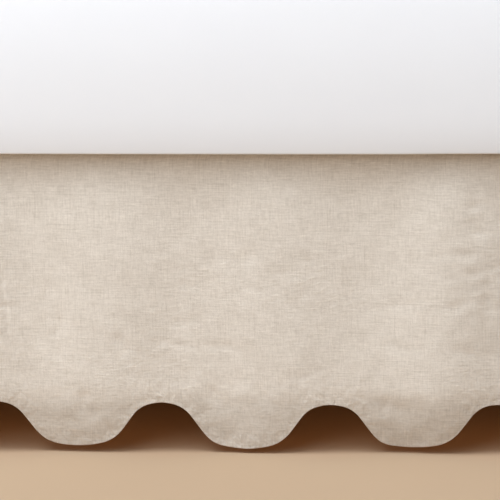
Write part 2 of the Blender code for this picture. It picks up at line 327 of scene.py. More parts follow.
def leg_wood():
    """Oiled wood: rings stretched along the leg, with fine dark pores."""
    w = Wiring("leg_wood")
    place = w.add("ShaderNodeTexCoord").outputs["Object"]
    rings = w.pattern(place, 0.006, 0.006, deep=0.14, detail=4.0, roughness=0.6, distortion=0.4)
    pores = w.ramp(w.pattern(place, 0.0012, 0.0012, deep=0.03), 0.52, 0.72)
    tone = w.math("SUBTRACT", w.math("MULTIPLY", rings, 1.6), w.math("MULTIPLY", pores, 0.35))
    tone = w.math("SUBTRACT", tone, 0.25, clamp=True)
    w.put(w.shader, {
        "Base Color": w.mix(tone, WOOD_DARK, WOOD_LIGHT),
        "Roughness": w.ramp(pores, 0.0, 1.0, 0.42, 0.6),
        "Normal": w.bump(w.math("SUBTRACT", rings, pores), 0.0001),
    })
    return w.material


wood = leg_wood()
print("made", wood.name)

# %% [markdown]
# ## From a bmesh to a piece
#
# Every piece ends the same way: its bmesh becomes a mesh object with one material, shaded smooth,
# parented to the body's empty, and the solids that it stands for are hidden. A sheet is modelled as
# one surface in the middle of its cloth, and a Solidify modifier gives it both faces and an edge.

# %% Finish a piece
SMOOTH_ANGLE = math.radians(45)
EDGE_ANGLE = math.radians(60)


def add_piece(name, bm, material, stands_for, smooth_angle=SMOOTH_ANGLE):
    """The bmesh as a finished object, in place of the solids that it stands for."""
    mesh = bpy.data.meshes.new(name)
    bm.normal_update()
    bm.to_mesh(mesh)
    bm.free()
    mesh.materials.append(material)
    mesh.shade_smooth()
    mesh.set_sharp_from_angle(angle=smooth_angle)
    obj = bpy.data.objects.new(name, mesh)
    bpy.context.scene.collection.objects.link(obj)
    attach(obj, "root")
    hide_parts(*stands_for)
    print(f"{name}: {len(mesh.polygons)} faces")
    return obj


def thicken(obj, thickness, edge_round=0.0):
    """Gives a sheet its thickness on both sides of its middle, and rounds its rim if asked."""
    solid = obj.modifiers.new("cloth", "SOLIDIFY")
    solid.thickness = thickness
    solid.offset = 0.0
    if edge_round:
        bevel = obj.modifiers.new("edge", "BEVEL")
        bevel.width = edge_round
        bevel.segments = 2
        bevel.limit_method = "ANGLE"
        bevel.angle_limit = EDGE_ANGLE


print(f"pieces are smooth up to {math.degrees(SMOOTH_ANGLE):.0f} degrees")

# %% [markdown]
# ## How the skirt hangs
#
# The deck is pinned under the mattress, and each drop panel runs from its seam with the deck over the
# base's rounded edge and straight down. A panel of heavy linen falls almost flat: it has a few soft
# upright folds that grow towards the hem. Each fold is one smooth bulge, written as a row in a table,
# so that each can be moved by itself. A cloth simulation could hang the panels too, but it places its
# folds where it likes.

# %% The folds
def rows(kind, *table):
    """The rows of a table as tuples with named fields."""
    return tuple(kind(*row) for row in table)


class Fold(NamedTuple):
    at: float  # along the panel from its middle
    wide: float  # half its width
    out: float  # how far it stands out
    lean: float  # how far it drifts sideways down to the hem


SIDE_FOLDS = rows(
    Fold,
    (-0.870, 0.050, 0.0074, 0.010),
    (-0.705, 0.075, 0.0056, -0.012),
    (-0.530, 0.055, 0.0080, 0.006),
    (-0.326, 0.048, 0.0094, 0.014),
    (-0.164, 0.072, 0.0074, -0.016),
    (0.026, 0.068, 0.0058, 0.030),
    (0.258, 0.062, 0.0092, -0.020),
    (0.342, 0.072, -0.0032, 0.000),
    (0.425, 0.060, 0.0050, 0.010),
    (0.575, 0.075, 0.0054, 0.014),
    (0.735, 0.052, 0.0082, -0.010),
    (0.885, 0.048, 0.0062, 0.000),
)
FOOT_FOLDS = rows(
    Fold,
    (-0.400, 0.055, 0.0066, 0.008),
    (-0.235, 0.070, 0.0058, -0.010),
    (-0.045, 0.055, 0.0084, 0.004),
    (0.150, 0.075, 0.0056, 0.012),
    (0.345, 0.058, 0.0076, -0.006),
)
FAR_FOLDS = tuple(Fold(-fold.at, fold.wide, fold.out, -fold.lean) for fold in SIDE_FOLDS)
FOLD_START = 0.030  # how far below the edge a fold has grown to two thirds
print(len(SIDE_FOLDS), "folds on a long side,", len(FOOT_FOLDS), "at the foot")

# %% [markdown]
# ## Curls, corners and panels
#
# The tips of the scallops hang free, so they curl back in, each by its own amount. At the foot the
# panels only meet at the corners: the skirt is split there, so that it can be lifted, and the split
# opens a little towards the floor. A panel's row says which side of the bed it hangs on.

# %% The panels
FLARE = 0.0022  # how far the whole hem leans out
CURL = 0.0150  # how far the tips turn back in
CURL_HEIGHT = 0.085
CURL_POWER = 1.6
CURL_SPREAD = 0.35  # how much the curls differ
NEAR_CURLS = (
    (-0.412, 0.3), (-0.206, -0.1), (0.0, -1.3), (0.206, 1.1), (0.412, -0.2), (0.617, 0.5),
    (0.823, -0.6),
)
FAR_CURLS = ((-0.823, 0.4), (-0.617, -0.7), (-0.206, 0.6), (0.0, -0.3), (0.412, 0.7), (0.823, -0.5))
FOOT_CURLS = ((-0.375, 0.5), (-0.188, -0.6), (0.0, 0.3), (0.188, -0.4), (0.375, 0.6))
CURLS = {"panel_near": NEAR_CURLS, "panel_far": FAR_CURLS, "panel_foot": FOOT_CURLS}
SPLIT_TOP = 0.0015  # how far a panel stops short of a split corner, at its top and its hem
SPLIT_HEM = 0.0050


class Panel(NamedTuple):
    name: str
    run: float  # the base's side that it hangs on
    reach: float  # from the bed's middle to that side
    lobes: int
    folds: tuple
    turn: float  # about +Z, from the near side
    mitred: tuple  # whether its left and its right end meet another panel


SIDE_LOBES = 9
FOOT_LOBES = 5
PANELS = (
    Panel("panel_near", BASE_LENGTH, BASE_WIDTH / 2, SIDE_LOBES, SIDE_FOLDS, 0.0, (True, False)),
    Panel("panel_far", BASE_LENGTH, BASE_WIDTH / 2, SIDE_LOBES, FAR_FOLDS, math.pi, (False, True)),
    Panel(
        "panel_foot", BASE_WIDTH, BASE_LENGTH / 2, FOOT_LOBES, FOOT_FOLDS, -math.pi / 2, (True, True),
    ),
)
print(len(PANELS), "panels,", sum(panel.lobes for panel in PANELS), "scallops")

# %% [markdown]
# ## The scalloped hem
#
# One half of a scallop is drawn with compasses: two arcs for the round top of the gap, a straight
# flank, and two arcs for the lobe's shoulder and its flatter bottom. `np.interp` then reads the
# height of the hem anywhere along the panel, and the other half is the same curve read backwards.

# %% Half a scallop
SCALLOP_DEPTH = 0.0552
ARC_STEPS = 10


class Arc(NamedTuple):
    radius: float
    start: float  # the hem's slope where the arc starts and ends, in radians
    end: float


GAP_ARCS = (Arc(0.075, 0.0, math.radians(13)), Arc(0.036, math.radians(13), math.radians(48)))
LOBE_ARCS = (Arc(0.048, math.radians(48), math.radians(10)), Arc(0.160, math.radians(10), 0.0))


def follow(arcs, along, down):
    """Carries a line on along each arc in turn, and gives the arrays of its points."""
    for arc in arcs:
        slope = np.linspace(arc.start, arc.end, ARC_STEPS + 1)[1:]
        next_along = along[-1] + arc.radius * np.abs(np.sin(slope) - math.sin(arc.start))
        next_down = down[-1] + arc.radius * np.abs(np.cos(slope) - math.cos(arc.start))
        along, down = np.append(along, next_along), np.append(down, next_down)
    return along, down


def half_scallop(half_pitch):
    """(along, down) as shares, from the middle of a gap to the middle of a lobe."""
    along, down = follow(GAP_ARCS, np.zeros(1), np.zeros(1))
    lobe_wide = follow(LOBE_ARCS, np.zeros(1), np.zeros(1))[0][-1]
    flank = half_pitch - along[-1] - lobe_wide
    flank_down = flank * math.tan(LOBE_ARCS[0].start)
    along, down = np.append(along, along[-1] + flank), np.append(down, down[-1] + flank_down)
    along, down = follow(LOBE_ARCS, along, down)
    return along / along[-1], down / down[-1]


SCALLOP_ALONG, SCALLOP_DOWN = half_scallop(BASE_LENGTH / SIDE_LOBES / 2)
print(f"a scallop is {BASE_LENGTH / SIDE_LOBES:.3f} wide and {SCALLOP_DEPTH:.3f} deep")

# %% [markdown]
# ## A hem sewn by hand
#
# No two scallops come out quite alike: the scissors stray, and one lobe hangs a little lower than the
# next. Each pair here is a place along the panel and how far the hem lies above its pattern there,
# and `np.interp` joins them.

# %% Small lifts of the hem
NEAR_LIFTS = (
    (-0.412, 0.0), (-0.309, 0.0042), (-0.264, 0.0022), (-0.247, 0.0002), (-0.230, 0.0002),
    (-0.206, 0.0008), (-0.170, 0.0018), (-0.103, 0.0018), (-0.062, 0.0002), (-0.043, -0.0022),
    (-0.022, -0.0018), (0.0, -0.0018), (0.056, -0.0002), (0.103, 0.0), (0.145, -0.0006),
    (0.164, -0.0028), (0.184, -0.0008), (0.206, 0.0002), (0.262, 0.0014), (0.292, 0.0016),
    (0.309, 0.0006), (0.412, -0.0014), (0.515, 0.0012), (0.720, -0.0010),
)
FAR_LIFTS = ((-0.720, 0.0012), (-0.412, -0.0014), (-0.103, 0.0016), (0.206, -0.0010), (0.515, 0.0014))
FOOT_LIFTS = ((-0.375, 0.0010), (-0.188, -0.0012), (0.0, 0.0014), (0.188, -0.0008), (0.375, 0.0010))
LIFTS = {"panel_near": NEAR_LIFTS, "panel_far": FAR_LIFTS, "panel_foot": FOOT_LIFTS}


def hem_height(panel, along):
    """The hem's height at places along a panel, with the small lifts and drops of a hand-sewn hem."""
    places, lifts = zip(*LIFTS[panel.name])
    pitch = panel.run / panel.lobes
    phase = ((along + panel.run / 2) / pitch) % 1.0
    share = 1 - np.abs(2 * phase - 1)
    lift = np.interp(along, places, lifts)
    return HEM_LOW + SCALLOP_DEPTH * (1 - np.interp(share, SCALLOP_ALONG, SCALLOP_DOWN)) + lift


print(f"the near hem strays by {max(abs(lift) for _, lift in NEAR_LIFTS) * 1000:.1f} mm at most")

# %% [markdown]
# ## Creases
#
# Pressed linen keeps faint creases where it was folded and packed, and soft dents where a hand has
# pulled it. Each is a soft trough along a short line. Like the folds, they are rows in a table, and
# each panel has its own.

# %% The creases of the near panel
class Crease(NamedTuple):
    x0: float  # where it starts: along the panel from its middle
    z0: float  # and above the floor
    x1: float  # where it ends
    z1: float
    wide: float  # half its width
    deep: float  # how far it is pressed in


NEAR_CREASES = rows(
    Crease,
    # long upright ones near the left of the view
    (-0.304, 0.276, -0.289, 0.178, 0.0030, 0.0013),
    (-0.293, 0.212, -0.283, 0.118, 0.0030, 0.0010),
    (-0.239, 0.218, -0.243, 0.158, 0.0060, 0.0005),
    (-0.225, 0.188, -0.227, 0.110, 0.0070, 0.0009),
    (-0.154, 0.156, -0.146, 0.120, 0.0080, 0.0009),
    # across the middle, where the cloth lay folded
    (-0.118, 0.141, -0.055, 0.137, 0.0044, 0.0006),
    (-0.064, 0.138, 0.006, 0.131, 0.0044, 0.0006),
    (-0.098, 0.160, -0.036, 0.175, 0.0050, 0.0004),
    (-0.096, 0.209, -0.048, 0.211, 0.0045, 0.0003),
    (-0.014, 0.206, 0.030, 0.209, 0.0045, 0.0004),
    (-0.006, 0.247, 0.024, 0.246, 0.0050, 0.0004),
    (0.056, 0.244, 0.098, 0.240, 0.0045, 0.0004),
    (0.052, 0.233, 0.092, 0.228, 0.0050, 0.0004),
    (-0.022, 0.303, 0.038, 0.306, 0.0060, 0.0005),
    (0.042, 0.092, 0.098, 0.107, 0.0048, 0.0006),
    (0.152, 0.141, 0.224, 0.131, 0.0048, 0.0006),
    (0.122, 0.176, 0.238, 0.195, 0.0050, 0.0004),
    # where it was squeezed, near the right
    (0.216, 0.250, 0.312, 0.247, 0.0044, 0.0004),
    (0.246, 0.219, 0.312, 0.236, 0.0050, 0.0005),
    (0.236, 0.181, 0.282, 0.195, 0.0060, 0.0005),
    (0.284, 0.202, 0.306, 0.178, 0.0070, 0.0010),
    (0.270, 0.334, 0.284, 0.262, 0.0110, 0.0017),
    (0.232, 0.132, 0.318, 0.126, 0.0070, 0.0006),
    # dents in the scallops, then short tucks beside the hem
    (-0.206, 0.078, -0.188, 0.038, 0.0110, 0.0014),
    (-0.040, 0.088, -0.030, 0.062, 0.0080, 0.0009),
    (0.010, 0.085, 0.036, 0.060, 0.0075, 0.0006),
    (0.152, 0.072, 0.218, 0.046, 0.0100, 0.0012),
    (-0.236, 0.016, -0.216, 0.034, 0.0044, 0.0005),
    (-0.168, 0.024, -0.152, 0.038, 0.0044, 0.0004),
    (-0.030, 0.012, -0.016, 0.026, 0.0044, 0.0006),
    (0.190, 0.012, 0.212, 0.022, 0.0044, 0.0004),
    # towards the panel's ends
    (-0.720, 0.250, -0.640, 0.238, 0.0050, 0.0006),
    (-0.560, 0.180, -0.470, 0.196, 0.0055, 0.0006),
    (-0.450, 0.300, -0.438, 0.214, 0.0060, 0.0009),
    (0.420, 0.220, 0.520, 0.206, 0.0050, 0.0006),
    (0.600, 0.290, 0.612, 0.190, 0.0065, 0.0010),
    (0.690, 0.150, 0.800, 0.166, 0.0055, 0.0006),
)
print(len(NEAR_CREASES), "creases on the near panel")

# %% The creases of the other panels
FAR_CREASES = rows(
    Crease,
    (-0.780, 0.236, -0.690, 0.244, 0.0050, 0.0006),
    (-0.610, 0.300, -0.600, 0.200, 0.0060, 0.0009),
    (-0.520, 0.160, -0.400, 0.148, 0.0050, 0.0006),
    (-0.300, 0.250, -0.190, 0.262, 0.0052, 0.0006),
    (-0.120, 0.180, -0.112, 0.100, 0.0065, 0.0011),
    (0.020, 0.214, 0.120, 0.200, 0.0050, 0.0006),
    (0.240, 0.150, 0.330, 0.166, 0.0055, 0.0006),
    (0.420, 0.290, 0.428, 0.200, 0.0060, 0.0010),
    (0.560, 0.230, 0.680, 0.222, 0.0050, 0.0006),
    (0.760, 0.140, 0.850, 0.152, 0.0055, 0.0006),
)
FOOT_CREASES = rows(
    Crease,
    (-0.360, 0.240, -0.270, 0.228, 0.0050, 0.0006),
    (-0.150, 0.280, -0.142, 0.190, 0.0062, 0.0010),
    (-0.080, 0.150, 0.030, 0.162, 0.0052, 0.0006),
    (0.120, 0.226, 0.220, 0.240, 0.0050, 0.0006),
    (0.290, 0.160, 0.380, 0.146, 0.0055, 0.0006),
)
CREASES = {"panel_near": NEAR_CREASES, "panel_far": FAR_CREASES, "panel_foot": FOOT_CREASES}
print({name: len(creases) for name, creases in CREASES.items()}, "creases")

# %% [markdown]
# ## Pressing the creases in
#
# A drawn line would look ruled, so slow noise along each crease makes it wander from side to side and
# come and go. It fades out at both its ends.

# %% Crease depth
CREASE_REACH = 4  # half widths beyond which a crease does nothing
WANDER = 0.9  # how far a crease strays from its line, in half widths
WANDER_LENGTH = 0.018
WANDER_APART = 90.0  # puts each crease in its own part of the noise
STRENGTH_SPREAD = 0.9  # how much its depth comes and goes
STRENGTH_PITCH = 1.7


def crease_depth(creases, along, height):
    """How far the creases press the cloth in at each place."""
    depth = np.zeros_like(along)
    for crease in creases:
        run = np.array((crease.x1 - crease.x0, crease.z1 - crease.z0))
        length = np.hypot(*run)
        dx, dz = along - crease.x0, height - crease.z0
        share = (dx * run[0] + dz * run[1]) / length**2
        away = (dx * run[1] - dz * run[0]) / length
        near = (share > 0) & (share < 1) & (np.abs(away) < CREASE_REACH * crease.wide)
        row = crease.x0 * WANDER_APART
        places = [Vector((spot * length / WANDER_LENGTH, row, 0.0)) for spot in share[near]]
        wander = np.array([noise.noise(place) for place in places])
        swing = np.array([noise.noise(place * STRENGTH_PITCH) for place in places])
        ends = 1 - (2 * share[near] - 1) ** 2
        off = away[near] / crease.wide + WANDER * wander
        depth[near] += crease.deep * np.exp(-(off**2)) * ends * (1 + STRENGTH_SPREAD * swing)
    return depth


print(f"creases wander every {WANDER_LENGTH * 1000:.0f} mm")

# %% [markdown]
# ## Crumples
#
# Where the cloth has been sat on or squeezed it keeps a patch of small wrinkles in no order. Noise
# makes them, and a soft oval mask keeps them in their patch.

# %% The crumples
class Crumple(NamedTuple):
    x: float  # the middle of the patch
    z: float
    wide: float  # half its width and height
    high: float
    size: float  # of one wrinkle
    deep: float


NEAR_CRUMPLES = rows(
    Crumple,
    (0.285, 0.225, 0.060, 0.085, 0.018, 0.0006),
    (-0.290, 0.200, 0.026, 0.090, 0.014, 0.0004),
    (0.010, 0.215, 0.130, 0.070, 0.022, 0.0004),
    (-0.030, 0.060, 0.080, 0.045, 0.024, 0.0007),
    (0.195, 0.050, 0.070, 0.045, 0.024, 0.0008),
    (-0.205, 0.045, 0.070, 0.045, 0.024, 0.0007),
    (-0.620, 0.160, 0.100, 0.090, 0.026, 0.0008),
    (0.560, 0.200, 0.110, 0.090, 0.026, 0.0008),
)
FAR_CRUMPLES = rows(
    Crumple,
    (-0.350, 0.180, 0.120, 0.090, 0.026, 0.0008),
    (0.280, 0.120, 0.110, 0.080, 0.024, 0.0008),
)
FOOT_CRUMPLES = rows(
    Crumple,
    (-0.180, 0.140, 0.110, 0.080, 0.025, 0.0008),
    (0.260, 0.210, 0.080, 0.090, 0.025, 0.0007),
)
CRUMPLES = {"panel_near": NEAR_CRUMPLES, "panel_far": FAR_CRUMPLES, "panel_foot": FOOT_CRUMPLES}
CRUMPLE_REACH = 2  # half sizes beyond which a patch does nothing
WRINKLE_SQUASH = 1.4  # wrinkles are wider than they are high
WRINKLE_SEED = 5.0


def crumple_depth(crumples, along, height):
    """How far the wrinkles in each patch press the cloth in or push it out."""
    depth = np.zeros_like(along)
    for crumple in crumples:
        reach = ((along - crumple.x) / crumple.wide) ** 2 + ((height - crumple.z) / crumple.high) ** 2
        inside = reach < CRUMPLE_REACH**2
        size = crumple.size
        wrinkles = [
            noise.noise(Vector((x / size, z / size * WRINKLE_SQUASH, WRINKLE_SEED)))
            for x, z in zip(along[inside], height[inside])
        ]
        depth[inside] += crumple.deep * np.exp(-reach[inside]) * np.array(wrinkles)
    return depth


print({name: len(crumples) for name, crumples in CRUMPLES.items()}, "crumples")

# %% [markdown]
# ## From flat cloth to hung cloth
#
# A panel is cut flat, so every point on it has two places: where it lies on the flat cloth, and where
# it hangs. `hang` goes from one to the other: along the turned-in top, round the edge and down to the
# hem, out by the folds and the flare, and in by the curl, the creases and the crumples. Working on
# numpy arrays moves all points at once, which keeps this quick.

# %% Where the cloth hangs
FLAT_RUN = TURN_IN + HANG_PLANE - FOLD_RADIUS  # along the cloth, from the seam to the bend
BEND_RUN = FOLD_RADIUS * math.pi / 2  # round the bend
RIPPLES = ((0.070, 0.0010), (0.032, 0.00040), (0.017, 0.00016))  # (size, depth) of the soft unevenness
RIPPLE_DRAW = 0.6  # ripples are drawn out downwards


def ripple(points, size, seed):
    """Smooth noise at places on a panel, with features of about the given size."""
    return np.array([noise.noise(Vector((x / size, z / size * RIPPLE_DRAW, seed))) for x, z in points])


def fold_depth(panel, along, share):
    """How far the folds stand out, at shares of the way down to the floor."""
    return sum(
        fold.out * np.exp(-(((along - fold.at - fold.lean * share) / fold.wide) ** 2))
        for fold in panel.folds
    )


def curl_depth(panel, along, height):
    curl = CURL * np.clip((CURL_HEIGHT - height) / CURL_HEIGHT, 0, None) ** CURL_POWER
    return curl * (1 + CURL_SPREAD * np.interp(along, *zip(*CURLS[panel.name])))


def spread_to_corners(panel, along, out, share):
    """Places along the room for places along the cloth, with mitred ends where panels meet."""
    end = panel.run / 2
    split = SPLIT_TOP + (SPLIT_HEM - SPLIT_TOP) * share
    mitre = np.minimum(out, HANG_PLANE) - split
    left = end + (mitre if panel.mitred[0] else 0.0)
    right = end + (mitre if panel.mitred[1] else 0.0)
    return -left + (left + right) * (along + end) / panel.run


def hang(panel, along, down):
    """Places in the room for places on the flat cloth: along the panel and down from its seam."""
    angle = np.clip((down - FLAT_RUN) / FOLD_RADIUS, 0, math.pi / 2)
    below = np.clip(down - FLAT_RUN - BEND_RUN, 0, None)
    out = -TURN_IN + np.minimum(down, FLAT_RUN) + FOLD_RADIUS * np.sin(angle)
    height = CLOTH_MIDDLE - FOLD_RADIUS * (1 - np.cos(angle)) - below

    share = below / DROP
    grown = 1 - np.exp(-below / FOLD_START)
    points = list(zip(along, height))
    ripples = sum(deep * ripple(points, size, panel.turn + size) for size, deep in RIPPLES)
    hung = fold_depth(panel, along, share) * grown + FLARE * share
    hung = hung - curl_depth(panel, along, height) + ripples * grown
    hung -= crease_depth(CREASES[panel.name], along, height) * grown
    hung -= crumple_depth(CRUMPLES[panel.name], along, height) * grown
    return spread_to_corners(panel, along, out, share), -(out + hung), height


print(f"flat for {FLAT_RUN * 1000:.1f} mm, then a bend of {BEND_RUN * 1000:.1f} mm")

# %% [markdown]
# ## Painted shade over the facing behind the scallops
#
# Scallops can't be turned up like a straight hem, so they are sewn to a facing, a strip with the
# same scallops. Over the facing the cloth's colour is darkened a little as painted shade, standing
# in for the lesser light low on the skirt, in a band with a soft upper edge.

# %% Where the facing gets its painted shade
# The band of painted shade over the facing: its top, its soft fade and how its top wavers.
FACING_SHADE_TOP = HEM_LOW + SCALLOP_DEPTH + 0.016
FACING_SHADE_FADE = 0.024
FACING_SHADE_WAVER = 0.006  # how uneven its upper edge is
FACING_SHADE_WAVE = 0.045


def painted_facing_shade(panel, along, height):
    """How much painted shade the facing lays on the cloth at each place, from 0 to 1."""
    waver = [FACING_SHADE_WAVER * noise.noise(Vector((x / FACING_SHADE_WAVE, panel.turn, 0.0))) for x in along]
    share = np.clip((FACING_SHADE_TOP + np.array(waver) - height) / FACING_SHADE_FADE, 0, 1)
    return share * share * (3 - 2 * share)


print(f"the facing reaches {FACING_SHADE_TOP:.3f} above the floor")

# %% [markdown]
# ## Making a panel
#
# A panel starts as a flat grid from `bmesh.ops.create_grid`, with a column every few millimetres and
# closer rows at the hem. The near panel's columns are closer together in its middle, where it has
# the finest creases. Each vertex's flat place is kept as a UV map called "cut", which carries the
# weave, and then the vertex moves to where the cloth hangs. The very edge stands out as a thin lip,
# because seam and facing make it thicker.

# %% Hang the panels
COLUMNS_PER_LOBE = 50
TURN_ROWS = 4
EDGE_ROWS = 6
DROP_ROWS = 78
HEM_ROWS = (0.958, 0.972, 0.983, 0.991, 0.996, 1.0)  # the last rows, as shares of the drop
EVEN = ((0.0, 1.0), (-0.5, 0.5))  # shares of the columns, and of the run that they reach
CLOSER_IN_MIDDLE = ((0.0, 0.23, 0.77, 1.0), (-0.5, -0.178, 0.178, 0.5))
COLUMN_SPREAD = {"panel_near": CLOSER_IN_MIDDLE, "panel_far": EVEN, "panel_foot": EVEN}
PUCKER_REACH = 0.020  # how far from the edge the puckers fade
LIP = 0.00025
LIP_REACH = 0.0018
EDGE_ROUND = 0.0004


def row_distances(hem_drop):
    """Distances down the cloth from its seam, one for each row, for a column whose drop is hem_drop."""
    turned = np.linspace(0, FLAT_RUN, TURN_ROWS, endpoint=False)
    bend = FLAT_RUN + np.linspace(0, BEND_RUN, EDGE_ROWS, endpoint=False)
    shares = np.concatenate([np.linspace(0, HEM_ROWS[0], DROP_ROWS, endpoint=False), HEM_ROWS])
    return np.concatenate([turned, bend, FLAT_RUN + BEND_RUN + shares * hem_drop])


def make_panel(panel):
    columns = panel.lobes * COLUMNS_PER_LOBE
    row_count = len(row_distances(1.0)) - 1
    bm = bmesh.new()
    bmesh.ops.create_grid(bm, x_segments=columns, y_segments=row_count, size=0.5)
    column = np.array([round((vert.co.x + 0.5) * columns) for vert in bm.verts])
    row = np.array([round((0.5 - vert.co.y) * row_count) for vert in bm.verts])
    line = panel.run * np.interp(np.linspace(0, 1, columns + 1), *COLUMN_SPREAD[panel.name])
    drops = CLOTH_MIDDLE - FOLD_RADIUS - hem_height(panel, line)
    distances = np.array([row_distances(drop) for drop in drops])
    along, down = line[column], distances[column, row]

    cut = bm.loops.layers.uv.new("cut")
    for face in bm.faces:
        for loop in face.loops:
            loop[cut].uv = (along[loop.vert.index], down[loop.vert.index])
    slope = np.cos(np.arctan(np.gradient(drops, line)))
    from_hem = (distances[column, -1] - down) * slope[column]
    # Painted shade over the facing is kept on each vertex, for the linen's colour.
    facing_shade = bm.verts.layers.float.new("facing_shade")
    hem = bm.verts.layers.float.new("hem")
    x, y, z = hang(panel, along, down)
    y -= LIP * np.exp(-from_hem / LIP_REACH)
    layers = painted_facing_shade(panel, along, z)
    pulls = np.exp(-from_hem / PUCKER_REACH)
    for vert, place, share, pull in zip(bm.verts, zip(x, y, z), layers, pulls):
        vert.co = place
        vert[facing_shade] = share
        vert[hem] = pull
    turn = Matrix.Rotation(panel.turn, 4, "Z")
    reach = turn @ Vector((0.0, -panel.reach, 0.0))
    bmesh.ops.transform(bm, matrix=Matrix.Translation(reach) @ turn, verts=bm.verts)
    obj = add_piece(panel.name.replace("panel", "skirt"), bm, linen_cloth, [panel.name])
    thicken(obj, CLOTH, edge_round=EDGE_ROUND)
    return obj


for panel in PANELS:
    make_panel(panel)

# %% [markdown]
# ## A box of cloth's UV map
#
# Box-shaped pieces take their weave from the side each face looks to: a flat cloth pinned on each
# side, in metres.

# %% UV map for box-shaped pieces
def pin_weave(bm):
    cut = bm.loops.layers.uv.new("cut")
    bm.normal_update()
    for face in bm.faces:
        facing = max(range(3), key=lambda axis: abs(face.normal[axis]))
        first, second = [axis for axis in range(3) if axis != facing]
        for loop in face.loops:
            loop[cut].uv = (loop.vert.co[first], loop.vert.co[second])


print("ready to pin a weave on a box")

# %% [markdown]
# ## The deck
#
# The deck is the plain cloth that holds the skirt up. It lies flat between the base and the mattress,
# whose weight holds it still, so a flat grid with a thickness is all it takes.

# %% Deck
DECK_COLUMNS = 60
DECK_ROWS = 30


def make_deck():
    bm = bmesh.new()
    bmesh.ops.create_grid(bm, x_segments=DECK_COLUMNS, y_segments=DECK_ROWS, size=0.5)
    size = deck_high - deck_low
    middle = (deck_high + deck_low) / 2
    bmesh.ops.scale(bm, vec=(size.x, size.y, 1.0), verts=bm.verts)
    bmesh.ops.translate(bm, vec=middle, verts=bm.verts)
    pin_weave(bm)
    obj = add_piece("skirt_deck", bm, deck_cloth, ["deck"])
    thicken(obj, CLOTH)
    return obj


make_deck()

# %% [markdown]
# ## The mattress's outline
#
# The mattress is drawn as rings: an outline with rounded corners is extruded ring by ring, up the
# rolled lower edge, the side and the rolled upper edge, then inwards over the crown. This cell gives
# the outline of one ring. Rings close to each other let the sides bulge smoothly.

# %% One ring of the mattress
MATTRESS_CORNER = 0.050
CORNER_STEPS = 8
LONG_STEPS = 130
SHORT_STEPS = 66


def outline(inset):
    """Places round the mattress at a given inset from its widest outline, evenly spaced by corner."""
    half_x = mattress_high.x - inset
    half_y = mattress_high.y - inset
    radius = max(MATTRESS_CORNER - inset, MATTRESS_CORNER / 4)
    places = []
    sides = ((1, 1), (-1, 1), (-1, -1), (1, -1))
    for quarter, (side_x, side_y) in enumerate(sides):
        centre = Vector((side_x * (half_x - radius), side_y * (half_y - radius)))
        for step in range(CORNER_STEPS + 1):
            angle = math.pi / 2 * (quarter + step / CORNER_STEPS)
            places.append(centre + radius * Vector((math.cos(angle), math.sin(angle))))
        next_x, next_y = sides[(quarter + 1) % 4]
        next_centre = Vector((next_x * (half_x - radius), next_y * (half_y - radius)))
        end = next_centre + radius * Vector((math.cos(angle), math.sin(angle)))
        steps = (LONG_STEPS, SHORT_STEPS)[quarter % 2]
        places += [places[-1].lerp(end, step / steps) for step in range(1, steps)]
    return places


print(len(outline(0.0)), "places in a ring")

# %% [markdown]
# ## The mattress's profile
#
# A mattress is softest in the middle of its side, so the side bulges most there. Its lower edge is
# held by the sheet, which is tucked less tightly in places, so that edge lifts by up to a millimetre
# on the near side. The rings are listed from the bottom to the crown.

# %% The rings in order
MATTRESS_CROWN = 0.012
MATTRESS_BULGE = 0.005
TOP_ROLL_WIDTH = 0.030
TOP_ROLL_HEIGHT = 0.055
LOW_ROLL_WIDTH = 0.0014
LOW_ROLL_HEIGHT = 0.0018
LEAN = 0.0020  # how far the side leans in towards its lower edge
LEAN_HEIGHT = 0.042
CROWN_REACH = 0.625  # the share of half the width at which the crown is full
RING_STEP = 0.013
ROLL_STEPS = 10
CROWN_STEPS = 21
SAG = ((-0.32, 0.0002), (-0.10, 0.0), (0.08, 0.0), (0.19, 0.0002), (0.25, 0.0008), (0.34, 0.0009))
SAG_REACH = 0.012  # how far up the side the lift reaches
SAG_START = 0.080  # how far in from the near side it starts
SAG_FADE = 0.060  # and over what distance it grows


def ease(share):
    """0 to 1 with a soft start and end."""
    share = min(max(share, 0.0), 1.0)
    return share * share * (3 - 2 * share)


def bulged(inset, height):
    """(inset, height) with the side's bulge, full at mid-height, and its lean at the lower edge."""
    up = height - mattress_low.z
    share = min(max(up / (mattress_high.z - MATTRESS_CROWN - mattress_low.z), 0.0), 1.0)
    lean = LEAN * max(1 - up / LEAN_HEIGHT, 0.0) ** 2
    return inset + MATTRESS_BULGE * (1 - math.sin(math.pi * share)) + lean, height


def lifted(x, y, height):
    """height with the uneven lift of the near lower edge."""
    near = ease((-y - mattress_high.y + SAG_START) / SAG_FADE)
    low = max(1 - (height - mattress_low.z) / SAG_REACH, 0.0)
    return height + float(np.interp(x, *zip(*SAG))) * near * low


def mattress_rings():
    """(inset, height) of each ring."""
    quarter = [math.pi / 2 * step / ROLL_STEPS for step in range(ROLL_STEPS + 1)]
    shoulder = mattress_high.z - MATTRESS_CROWN
    low = [
        (LOW_ROLL_WIDTH * (1 - math.sin(a)), mattress_low.z + LOW_ROLL_HEIGHT * (1 - math.cos(a)))
        for a in quarter
    ]
    high = [
        (TOP_ROLL_WIDTH * (1 - math.sin(a)), shoulder - TOP_ROLL_HEIGHT * (1 - math.cos(a)))
        for a in reversed(quarter)
    ]
    side_low, side_high = low[-1][1], high[0][1]
    steps = round((side_high - side_low) / RING_STEP)
    side = [(0.0, side_low + (side_high - side_low) * step / steps) for step in range(1, steps)]
    half = mattress_high.y
    insets = np.linspace(TOP_ROLL_WIDTH, half * CROWN_REACH, CROWN_STEPS + 1)[1:]
    crown = [(inset, shoulder + MATTRESS_CROWN * ease(inset / half / CROWN_REACH)) for inset in insets]
    return [bulged(inset, height) for inset, height in low + side + high] + crown


